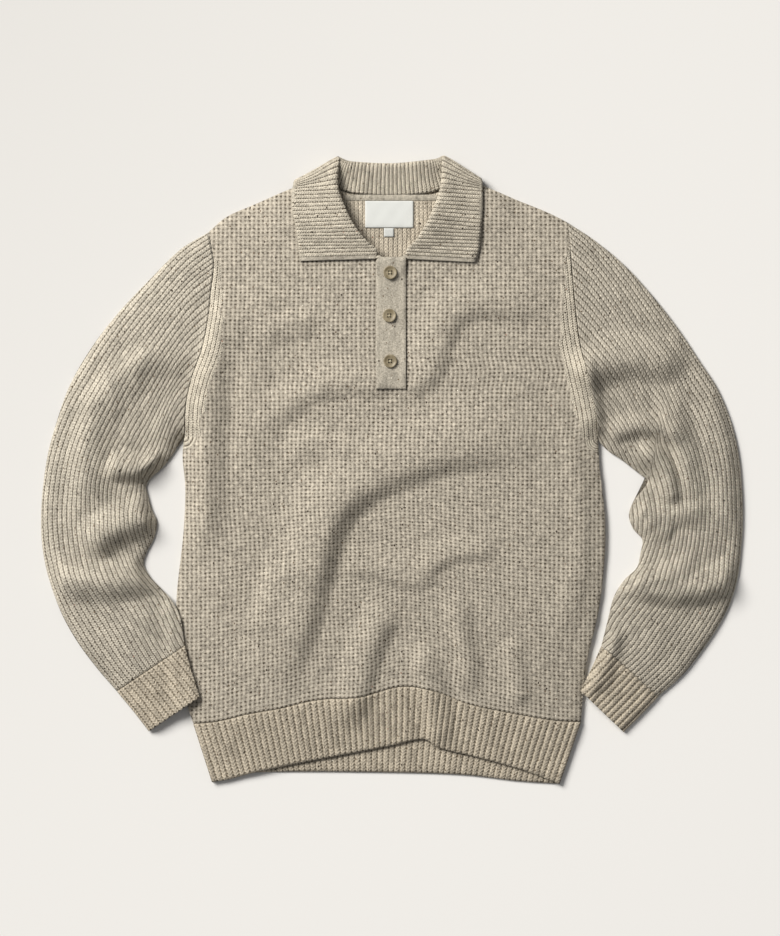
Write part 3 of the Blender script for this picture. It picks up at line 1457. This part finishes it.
@dataclass
class Button:
    """A turned horn button with a rim, four holes and a cross of thread.

    Each row of face_steps says how far the face is drawn in, and how far it is then raised.
    """

    number: int
    place: tuple[float, float]
    seat: float
    radius: float = 7.5
    thickness: float = 3.0
    hole_radius: float = 1.0
    hole_spacing: float = 2.9
    thread_radius: float = 0.3
    thread_depth: float = 0.55
    thread_cross: float = 0.25
    thread_reach: float = 0.95
    face_steps: Sequence[tuple[float, float]] = ((1.3, 0.0), (0.9, -0.65), (1.6, -0.1))
    rim_round: float = 0.55
    sides: int = 48
    hole_sides: int = 16
    thread_sides: int = 12
    smooth_angle: float = math.radians(40)

    def build(self, horn: bpy.types.Material, thread: bpy.types.Material) -> bpy.types.Object:
        """Model the button and its thread as one piece.

        Args:
            horn: The disc's material.
            thread: The thread's material.

        Returns:
            The modelled piece.
        """
        x, y, z = (value * MM for value in (*self.place, self.seat))
        disc = self.disc(x, y, z)
        parts = [disc, *(self.strand(x, y, z, turn) for turn in (45, 135))]
        bpy.ops.object.select_all(action="DESELECT")
        for part in parts:
            part.data.materials.append(horn)
            part.data.materials.append(thread)
            part.data.polygons.foreach_set("material_index",
                                           [int(part is not disc)] * len(part.data.polygons))
            part.select_set(True)
        bpy.context.view_layer.objects.active = disc
        bpy.ops.object.join()
        bpy.ops.object.transform_apply(location=True, rotation=True, scale=True)
        disc.name = "button_%d_horn" % self.number
        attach(disc, BODY)
        log.info("%s: %d faces", disc.name, len(disc.data.polygons))
        return disc

    def disc(self, x: float, y: float, z: float) -> bpy.types.Object:
        """Shape the disc from a cylinder: a raised rim, a hollow face and drilled holes.

        Args:
            x: Its middle, in metres.
            y: Its middle, in metres.
            z: Its underside, in metres.

        Returns:
            The disc's object.
        """
        bpy.ops.object.select_all(action="DESELECT")
        thick = self.thickness * MM
        bpy.ops.mesh.primitive_cylinder_add(vertices=self.sides, radius=self.radius * MM,
                                            depth=thick, location=(x, y, z + thick / 2))
        disc = bpy.context.active_object
        bpy.ops.object.transform_apply(location=True, rotation=True, scale=True)
        self.pick_top(disc, z + thick * 0.99)
        bpy.ops.object.mode_set(mode="EDIT")
        for inset, rise in self.face_steps:
            bpy.ops.mesh.inset(thickness=inset * MM)
            bpy.ops.transform.translate(value=(0, 0, rise * MM))
        bpy.ops.object.mode_set(mode="OBJECT")
        bevel = disc.modifiers.new("rounded rim", "BEVEL")
        bevel.width = self.rim_round * MM
        bevel.segments = 3
        bevel.limit_method = "ANGLE"
        bevel.angle_limit = math.radians(50)
        bpy.ops.object.modifier_apply(modifier=bevel.name)
        for side_x in (-0.5, 0.5):
            for side_y in (-0.5, 0.5):
                self.drill(disc, x + side_x * self.hole_spacing * MM,
                           y + side_y * self.hole_spacing * MM, z)
        bpy.ops.object.select_all(action="DESELECT")
        disc.select_set(True)
        bpy.context.view_layer.objects.active = disc
        bpy.ops.object.shade_smooth_by_angle(angle=self.smooth_angle)
        return disc

    @staticmethod
    def pick_top(disc: bpy.types.Object, level: float) -> None:
        """Select the faces above a level and nothing else.

        Args:
            disc: The disc.
            level: The level, in metres.
        """
        bpy.ops.object.mode_set(mode="EDIT")
        bpy.ops.mesh.select_mode(type="FACE")
        bpy.ops.mesh.select_all(action="DESELECT")
        bpy.ops.object.mode_set(mode="OBJECT")
        for polygon in disc.data.polygons:
            polygon.select = polygon.center.z > level

    def drill(self, disc: bpy.types.Object, x: float, y: float, z: float) -> None:
        """Cut one round hole through the disc.

        Args:
            disc: The disc, which is changed.
            x: The hole's middle, in metres.
            y: The hole's middle, in metres.
            z: The disc's underside, in metres.
        """
        bpy.ops.object.select_all(action="DESELECT")
        bpy.ops.mesh.primitive_cylinder_add(
            vertices=self.hole_sides, radius=self.hole_radius * MM,
            depth=4 * self.thickness * MM, location=(x, y, z))
        cutter = bpy.context.active_object
        cut = disc.modifiers.new("hole", "BOOLEAN")
        cut.operation = "DIFFERENCE"
        cut.solver = "EXACT"
        cut.object = cutter
        bpy.context.view_layer.objects.active = disc
        bpy.ops.object.modifier_apply(modifier=cut.name)
        bpy.data.objects.remove(cutter, do_unlink=True)

    def strand(self, x: float, y: float, z: float, turn: float) -> bpy.types.Object:
        """Lay one strand of thread across the face from hole to hole.

        Args:
            x: The button's middle, in metres.
            y: The button's middle, in metres.
            z: The button's underside, in metres.
            turn: The strand's direction in plan, in degrees.

        Returns:
            The strand's object.
        """
        bpy.ops.object.select_all(action="DESELECT")
        crossed = self.thread_cross if turn > 90 else 0.0
        level = z + (self.thickness - self.thread_depth + crossed) * MM
        bpy.ops.mesh.primitive_cylinder_add(
            vertices=self.thread_sides, radius=self.thread_radius * MM,
            depth=self.hole_spacing * self.thread_reach * MM, location=(x, y, level),
            rotation=(math.radians(90), 0, math.radians(turn)))
        strand = bpy.context.active_object
        bpy.ops.object.transform_apply(location=True, rotation=True, scale=True)
        bpy.ops.object.shade_smooth_by_angle(angle=self.smooth_angle)
        return strand


# --- Finishes ----------------------------------------------------------------------------

# The inputs of a Mix node between its factor and its two colours, which stay unused
NO_VALUES = (None,) * 5


def linear(colour: str) -> tuple[float, float, float, float]:
    """Turn a colour such as "#bfb39a" into the linear values that shaders take.

    Args:
        colour: An sRGB colour in hex digits.

    Returns:
        Linear red, green and blue, and a full alpha.
    """
    parts = [int(colour[at:at + 2], 16) / 255 for at in (1, 3, 5)]
    return (*[part / 12.92 if part <= 0.04045 else ((part + 0.055) / 1.055) ** 2.4
              for part in parts], 1.0)


def cells(size: float) -> float:
    """Scale of a noise or cell texture whose features are so many millimetres wide."""
    return 1 / (size * MM)


def bands(spacing: float) -> float:
    """Scale of a wave texture whose bands are so many millimetres apart."""
    return math.pi / 10 / (spacing * MM)


@dataclass
class Sketch:
    """A material while its nodes are laid out."""

    name: str
    material: bpy.types.Material = field(init=False)

    def __post_init__(self) -> None:
        """Make the material, with its Principled shader."""
        self.material = bpy.data.materials.new(self.name)
        self.material.use_nodes = True

    def add(self, kind: str, *inputs: object, out: int | str = 0,
            **settings: object) -> bpy.types.NodeSocket:
        """Add a node with its settings and links.

        Args:
            kind: The node's type without "ShaderNode" and, after a space, its operation.
            inputs: For each input a socket, a value or None to leave it.
            out: Which output to give back.
            settings: The node's own properties.

        Returns:
            The chosen output.
        """
        kind, _, operation = kind.partition(" ")
        if operation:
            settings["operation"] = operation
        node = self.material.node_tree.nodes.new("ShaderNode" + kind)
        for name, value in settings.items():
            setattr(node, name, value)
        for socket, value in zip(node.inputs, inputs):
            if value is not None:
                self.fill(socket, value)
        return node.outputs[out]

    def fill(self, socket: bpy.types.NodeSocket, value: object) -> None:
        """Give an input a link or a constant.

        Args:
            socket: The input.
            value: The output to link it to, or the constant.
        """
        if isinstance(value, bpy.types.NodeSocket):
            self.material.node_tree.links.new(value, socket)
        else:
            socket.default_value = value

    def dress(self, **values: object) -> bpy.types.Material:
        """Set the Principled shader's inputs.

        Args:
            values: A link or constant for each input, named with _ in place of spaces.

        Returns:
            The finished material.
        """
        shader = self.material.node_tree.nodes["Principled BSDF"]
        for name, value in values.items():
            self.fill(shader.inputs[name.replace("_", " ")], value)
        return self.material

    def wave(self, turns: bpy.types.NodeSocket) -> bpy.types.NodeSocket:
        """A smooth wave from 1 at whole turns to 0 at half turns."""
        swing = self.add("Math COSINE", self.add("Math MULTIPLY", turns, 2 * math.pi))
        return self.add("Math MULTIPLY_ADD", swing, 0.5, 0.5)


class Stitch(Enum):
    """How the loops of a knit lie."""

    WAFFLE = "waffle"
    RIB = "rib"
    PLAIN = "plain"


@dataclass(frozen=True)
class Fleck:
    """One kind of slub in the yarn: cell and fleck size in mm, share of cells, and colour."""

    cell: float
    size: float
    share: float
    colour: str


@dataclass(frozen=True)
class Tweed:
    """Tweed wool: pale loops, dark gaps, and dark, reddish and pale flecks spun into it.

    Uneven loops and fuzz keep it matt and soft, as hand-framed wool is.
    """

    name: str
    stitch: Stitch
    yarn: str = "#b9b0a0"
    gap: str = "#453c2f"
    gap_share: float = 0.95
    flecks: float = 0.45
    wander: float = 0.55
    uneven: float = 0.3
    fuzz_strength: float = 0.75
    loop_height: float = 0.6

    def build(self) -> bpy.types.Material:
        """Draw the material.

        Returns:
            The material.
        """
        sketch = Sketch(self.name)
        add = sketch.add
        place = add("TexCoord", out="Object")
        u, v = self.stitch_place(sketch, place)
        gaps, loops = self.structure(sketch, place, u, v)
        colour = add("Mix", add("Math MULTIPLY", gaps, self.gap_share, use_clamp=True), *NO_VALUES,
                     linear(self.yarn), linear(self.gap), out=2, data_type="RGBA")
        tone = self.tone(sketch, place, u, v)
        colour = add("Mix", 1.0, *NO_VALUES, colour, add("CombineColor", tone, tone, tone), out=2,
                     data_type="RGBA", blend_type="MULTIPLY")
        # Loose fibres half a millimetre apart stand off the yarn and soften every edge
        fuzz = add("TexNoise", place, None, cells(0.5263), 2.0, 0.6)
        height = add("Math MULTIPLY_ADD", fuzz, 0.5, loops)
        bump = add("Bump", self.fuzz_strength, self.loop_height * MM, None, height)
        return sketch.dress(Base_Color=self.speckle(sketch, place, colour), Normal=bump,
                            Roughness=0.92, Specular_IOR_Level=0.15, Sheen_Weight=0.18,
                            Sheen_Roughness=0.5, Sheen_Tint=linear("#efe6d2"))

    def stitch_place(self, sketch: Sketch, place: bpy.types.NodeSocket
                     ) -> tuple[bpy.types.NodeSocket, bpy.types.NodeSocket]:
        """Find the place in the knit.

        Args:
            sketch: The material.
            place: Object coordinates.

        Returns:
            Repeats across the ribs and along them.
        """
        add = sketch.add
        across = add("SeparateXYZ", add("UVMap", uv_map="stitches"))
        # Hand-framed knitting is never quite even: each line of loops wanders a little
        drift = add("TexNoise", place, None, cells(4.1667), 3.0, 0.7)
        green = add("SeparateColor", drift.node.outputs["Color"], out=1)
        u, v = (add("Math ADD", start, add("Math MULTIPLY_ADD", shift, self.wander,
                                           -0.5 * self.wander))
                for start, shift in ((across, drift), (across.node.outputs[1], green)))
        return u, v

    def structure(self, sketch: Sketch, place: bpy.types.NodeSocket, u: bpy.types.NodeSocket,
                  v: bpy.types.NodeSocket) -> tuple[bpy.types.NodeSocket, bpy.types.NodeSocket]:
        """Draw the loops.

        Args:
            sketch: The material.
            place: Object coordinates.
            u: Repeats across the ribs.
            v: Repeats along the ribs.

        Returns:
            The dark gaps, and the height of the loops.
        """
        add = sketch.add
        if self.stitch is Stitch.PLAIN:
            fleece = add("TexNoise", place, None, cells(1.1111), 4.0, 0.7)
            return add("MapRange", fleece, 0.66, 0.34, 0.0, 1.0,
                       interpolation_type="SMOOTHSTEP"), fleece
        waffle = self.stitch is Stitch.WAFFLE
        hollow = add("Math SUBTRACT", 1.0, sketch.wave(u))
        # Strands slant up to the rib's middle from both sides, as the legs of a V do
        slant = add("Math MULTIPLY_ADD", add("Math PINGPONG", u, 0.5), 1.4 if waffle else 1.6,
                    add("Math MULTIPLY", v, 2.0 if waffle else 1.1))
        twist = sketch.wave(slant)
        if waffle:
            between = add("Math SUBTRACT", 1.0, sketch.wave(v))
            pit = add("Math POWER", add("Math MULTIPLY", hollow, between), 0.9)
            # Some pits are half closed by the yarn's fuzz
            cell = add("CombineXYZ", add("Math FLOOR", u), add("Math FLOOR", v), 5.0)
            depth = add("Math MULTIPLY_ADD", add("TexWhiteNoise", cell), 0.4, 0.76)
            side = add("Math MULTIPLY_ADD", hollow, 0.34, add("Math MULTIPLY", between, 0.15))
            gaps = add("Math MAXIMUM", add("Math MULTIPLY", pit, depth), side)
            return gaps, add("Math MULTIPLY_ADD", twist, 0.35, add("Math SUBTRACT", 1.0, gaps))
        groove = add("Math MULTIPLY", add("Math POWER", hollow, 5.0),
                     add("Math MULTIPLY_ADD", twist, -0.75, 1.35))
        # Each rib is a chain of V-shaped loops, so a faint line runs down its middle
        middle = add("Math POWER", sketch.wave(add("Math MULTIPLY", u, 2.0)), 3.0)
        middle = add("Math MULTIPLY", middle, 0.22)
        bead = add("Math MULTIPLY_ADD", add("Math SUBTRACT", 1.0, twist), 0.32, middle)
        flat = add("Math SUBTRACT", 1.0, add("Math POWER", hollow, 3.0))
        return (add("Math MAXIMUM", groove, bead),
                add("Math MULTIPLY_ADD", twist, 0.9, add("Math SUBTRACT", flat, middle)))

    def tone(self, sketch: Sketch, place: bpy.types.NodeSocket, u: bpy.types.NodeSocket,
             v: bpy.types.NodeSocket) -> bpy.types.NodeSocket:
        """Vary the yarn's brightness, so that no two loops have the same colour.

        Args:
            sketch: The material.
            place: Object coordinates.
            u: Repeats across the ribs.
            v: Repeats along the ribs.

        Returns:
            A brightness round 1.
        """
        add = sketch.add
        course = v if self.stitch is Stitch.WAFFLE else add("Math MULTIPLY", v, 0.25)
        loop = add("CombineXYZ", add("Math ROUND", u), add("Math ROUND", course), 0.0)
        tone = -0.13 - 0.5 * self.uneven
        # From fine to broad: single fibres, plies of the yarn, faint patches and whole loops
        for source, share in ((add("TexNoise", place, None, cells(1.25), 3.0, 0.75), 1.3),
                              (add("TexNoise", place, None, cells(2.5), 1.0, 0.5), 0.8),
                              (add("TexNoise", place, None, cells(111.11), 2.0, 0.5), 0.16),
                              (add("TexWhiteNoise", loop), self.uneven)):
            tone = add("Math MULTIPLY_ADD", source, share, tone)
        return tone

    def speckle(self, sketch: Sketch, place: bpy.types.NodeSocket,
                colour: bpy.types.NodeSocket) -> bpy.types.NodeSocket:
        """Scatter flecks of other wool over a colour.

        Args:
            sketch: The material.
            place: Object coordinates.
            colour: The colour without flecks.

        Returns:
            The colour with flecks.
        """
        add = sketch.add
        kinds = (Fleck(9.5238, 0.743, self.flecks, "#33291f"),
                 Fleck(6.6667, 0.6, self.flecks, "#63523f"),
                 Fleck(16.667, 0.6, self.flecks * 0.3, "#93705e"),
                 Fleck(8.3333, 0.417, 0.2, "#efe8d6"))
        for order, kind in enumerate(kinds):
            # Cells of the pattern are stretched along Y, as the yarn's slubs are
            spot = add("VectorMath MULTIPLY_ADD", place, (1.0, 0.75, 1.0),
                       (0.37 * order, 0.0825 * order, 0.0))
            cell = add("TexVoronoi", spot, None, cells(kind.cell))
            chosen = add("Math LESS_THAN", add("SeparateColor", cell.node.outputs["Color"]),
                         kind.share)
            size = kind.size / kind.cell
            near = add("MapRange", cell, size * 1.5, size, 0.0, 1.0,
                       interpolation_type="SMOOTHSTEP")
            colour = add("Mix", add("Math MULTIPLY", near, chosen), *NO_VALUES, colour,
                         linear(kind.colour), out=2, data_type="RGBA")
        return colour


@dataclass(frozen=True)
class Threads:
    """Smooth threads side by side, which catch the light in fine lines and carry no print."""

    name: str
    colour: str
    spacing: float
    direction: str
    uneven: float
    depth: float
    strength: float
    roughness: float

    def build(self) -> bpy.types.Material:
        """Draw the material.

        Returns:
            The material.
        """
        sketch = Sketch(self.name)
        lines = sketch.add("TexWave", sketch.add("TexCoord", out="Object"), bands(self.spacing),
                           self.uneven, 1.0, 1.0, out=1, bands_direction=self.direction)
        bump = sketch.add("Bump", self.strength, self.depth * MM, None, lines)
        return sketch.dress(Base_Color=linear(self.colour), Normal=bump,
                            Roughness=self.roughness)


LABEL_SATIN = Threads("white label satin", "#cccdc8", spacing=0.1083, direction="Y", uneven=0.4,
                      depth=0.2, strength=0.25, roughness=0.6)
SEWING_THREAD = Threads("pale sewing thread", "#cfc5a8", spacing=0.08976, direction="DIAGONAL",
                        uneven=1.0, depth=0.1, strength=0.4, roughness=0.8)


@dataclass(frozen=True)
class Horn:
    """Olive-brown horn with cloudy lighter streaks and a dull polish."""

    name: str = "olive brown horn"
    dark: str = "#776b52"
    pale: str = "#9d9177"
    cloud: float = 5.8824

    def build(self) -> bpy.types.Material:
        """Draw the material.

        Returns:
            The material.
        """
        sketch = Sketch(self.name)
        clouds = sketch.add("TexNoise", sketch.add("TexCoord", out="Object"), None,
                            cells(self.cloud), 4.0, 0.6)
        streaks = sketch.add("MapRange", clouds, 0.4, 0.72, 0.0, 1.0,
                             interpolation_type="SMOOTHSTEP")
        colour = sketch.add("Mix", streaks, *NO_VALUES, linear(self.dark), linear(self.pale),
                            out=2, data_type="RGBA")
        return sketch.dress(Base_Color=colour, Roughness=0.5)


@dataclass(frozen=True)
class Backdrop:
    """Pale warm paper that the sweater lies on."""

    name: str = "pale warm paper"
    colour: str = "#dddbd7"
    lamp: tuple[float, float, float] = (-1.45, 1.3, 1.75)
    lamp_share: float = 0.43

    def build(self) -> bpy.types.Material:
        """Draw the material.

        Returns:
            The material.
        """
        sketch = Sketch(self.name)
        add = sketch.add
        # The paper is a little darker near the lamp, so that it looks equally bright all over
        away = add("VectorMath DISTANCE", add("TexCoord", out="Object"), self.lamp, out=1)
        light = add("Math POWER", add("Math DIVIDE", math.hypot(*self.lamp), away), 4.0)
        light = add("Math MULTIPLY_ADD", light, self.lamp_share, 1 - self.lamp_share)
        even = add("Math DIVIDE", 1.0, light)
        colour = add("Mix", 1.0, *NO_VALUES, linear(self.colour),
                     add("CombineColor", even, even, even), out=2, data_type="RGBA",
                     blend_type="MULTIPLY")
        return sketch.dress(Base_Color=colour, Roughness=0.9, Specular_IOR_Level=0.1)


# --- Studio ------------------------------------------------------------------------------

@dataclass
class Studio:
    """Floor, soft light from the upper left and a camera that looks straight down."""

    centre: tuple[float, float] = (-0.00224, 0.00252)
    frame_height: float = 1.0483
    lens: float = 100.0
    sensor: float = 36.0
    cloth_level: float = 0.01
    floor_size: float = 12.0
    floor_level: float = -0.0006
    key_toward: tuple[float, float, float] = (1.0, -0.85, -0.98)
    key_power: float = 1.42
    key_angle: float = 24.0
    side_power: float = 80.0
    side_size: float = 1.3
    lamp_colour: str = "#fffdfa"
    sky: float = 0.24
    sky_colour: str = "#f4f5f8"

    def build(self) -> None:
        """Set the studio up."""
        self.floor()
        # A sun is so far away that the floor stays even under it
        key = bpy.data.lights.new("key light", "SUN")
        key.energy = self.key_power
        key.angle = math.radians(self.key_angle)
        self.hang(key, (0.0, 0.0, 0.0), self.key_toward)
        side = bpy.data.lights.new("softbox", "AREA")
        side.energy = self.side_power
        side.size = self.side_size
        self.hang(side, Backdrop.lamp, [-value for value in Backdrop.lamp])
        world = bpy.data.worlds.new("studio")
        world.use_nodes = True
        world.node_tree.nodes["Background"].inputs[0].default_value = linear(self.sky_colour)
        world.node_tree.nodes["Background"].inputs[1].default_value = self.sky
        bpy.context.scene.world = world
        bpy.context.scene.view_settings.view_transform = "Standard"
        bpy.context.scene.view_settings.look = "None"
        self.camera()

    def floor(self) -> None:
        """Lay the backdrop just under the sweater."""
        bpy.ops.object.select_all(action="DESELECT")
        bpy.ops.mesh.primitive_plane_add(size=self.floor_size, location=(0, 0, self.floor_level))
        floor = bpy.context.active_object
        floor.name = "floor"
        floor.data.materials.append(Backdrop().build())

    def hang(self, lamp: bpy.types.Light, place: Sequence[float],
             toward: Sequence[float]) -> None:
        """Hang a lamp.

        Args:
            lamp: The lamp.
            place: Where it hangs, in metres.
            toward: The direction that it shines in.
        """
        lamp.color = linear(self.lamp_colour)[:3]
        holder = bpy.data.objects.new(lamp.name, lamp)
        holder.location = place
        holder.rotation_euler = Vector(toward).to_track_quat("-Z", "Y").to_euler()
        bpy.context.scene.collection.objects.link(holder)

    def camera(self) -> None:
        """Hang the camera over the middle of the picture."""
        lens = bpy.data.cameras.new("camera")
        lens.lens = self.lens
        lens.sensor_width = self.sensor
        lens.sensor_fit = "AUTO"
        lens.clip_end = 20.0
        holder = bpy.data.objects.new("camera", lens)
        distance = self.frame_height * self.lens / self.sensor
        holder.location = (*self.centre, distance + self.cloth_level)
        bpy.context.scene.collection.objects.link(holder)
        bpy.context.scene.camera = holder


# --- The sweater -------------------------------------------------------------------------

@dataclass
class Sweater:
    """All pieces with their finishes and what the frame needs to know of them."""

    drape: Drape = field(default_factory=Drape)
    button_places: Sequence[tuple[float, float]] = ((-2, 221), (-3, 173), (-2, 122))

    def build(self) -> None:
        body = Body(self.drape)
        hems = Hems(self.drape, body)
        sleeves = Sleeves(self.drape, body)
        collar = Collar(self.drape)
        placket = Placket(self.drape, collar)
        waffle = Tweed("waffle knit tweed wool", Stitch.WAFFLE).build()
        reverse = Tweed("inside rib of tweed wool", Stitch.RIB, yarn="#c5baa7",
                        gap_share=0.7).build()
        sleeve_rib = Tweed("sleeve rib of tweed wool", Stitch.RIB, yarn="#c1b9a9",
                           gap="#473e31", flecks=0.7).build()
        wide_rib = Tweed("wide rib of tweed wool", Stitch.RIB, yarn="#beb3a0", gap="#655b4b",
                         flecks=0.65).build()
        collar_rib = Tweed("collar rib of tweed wool", Stitch.RIB, yarn="#cbc2b0",
                           gap="#473e31", flecks=0.7).build()
        felt = Tweed("felted tweed wool", Stitch.PLAIN, yarn="#b0a99a", gap="#8b8274",
                     gap_share=0.6, flecks=0.8).build()
        front = body.build_front(waffle, collar_rib)
        self.declare(front, "front", "waffle_knit", (0.480, 0.640), ["back_knit"], 0.262)
        back = body.build_back(waffle, reverse)
        self.declare(back, "back", "waffle_knit", (0.480, 0.620), [], 0.270)
        hem_front = hems.build_front(wide_rib)
        self.declare(hem_front, "hem_front", "wide_rib", (0.460, 0.066), ["hem_back_knit"])
        hem_back = hems.build_back(wide_rib)
        self.declare(hem_back, "hem_back", "wide_rib", (0.460, 0.072), [])
        for side in Side:
            sleeve = sleeves.build_sleeve(side, sleeve_rib)
            self.declare(sleeve, "sleeve_%s" % side.value, "sleeve_rib", (0.360, 0.560), [],
                         0.155)
            cuff = sleeves.build_cuff(side, wide_rib)
            self.declare(cuff, "cuff_%s" % side.value, "wide_rib", (0.176, 0.060), [])
        leaf = collar.build(collar_rib, felt)
        self.declare(leaf, "collar", "collar_rib", (0.460, 0.100), ["front_knit"])
        under = placket.build_under(felt)
        self.declare(under, "placket_under", "placket_knit", (0.034, 0.140), ["back_knit"])
        over = placket.build_over(felt)
        self.declare(over, "placket", "placket_knit", (0.032, 0.140), ["placket_under_knit"])
        tape, label, tab = NeckTrim(self.drape).build(felt, LABEL_SATIN.build())
        self.declare(tape, "neck_tape", "neck_tape", (0.098, 0.010), ["back_knit"])
        self.declare(label, "label", "label_weave", (0.054, 0.030), ["back_knit"])
        self.declare(tab, "size_tab", "label_weave", (0.011, 0.010), ["back_knit"])
        self.buttons(placket)

    @staticmethod
    def declare(piece: bpy.types.Object, node: str, slot: str, flat: tuple[float, float],
                rests_on: list[str], area: float | None = None) -> None:
        """Say which solid a sheet stands for, its finish slot and its flat size in metres.

        Args:
            piece: The sheet.
            node: The node that it stands for.
            slot: Name of the finish.
            flat: Its size laid flat.
            rests_on: The nodes that it lies on.
            area: Its area in square metres, where it isn't a rectangle.
        """
        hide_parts(node)

    def buttons(self, placket: Placket) -> None:
        """Model the three buttons.

        Args:
            placket: The band that they lie on.
        """
        horn, thread = Horn().build(), SEWING_THREAD.build()
        for number, place in enumerate(self.button_places, start=1):
            spot = np.array([[place]], float)
            seat = float(placket.over(spot)[0, 0]) + placket.over_thickness + SEAM
            button = Button(number, place, seat).build(horn, thread)
            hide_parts("button_%d" % number)


def main() -> None:
    """Build the sweater and its studio."""
    logging.basicConfig(level=logging.INFO, format="%(message)s")
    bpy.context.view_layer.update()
    Sweater().build()
    Studio().build()


if __name__ == "__main__":
    main()
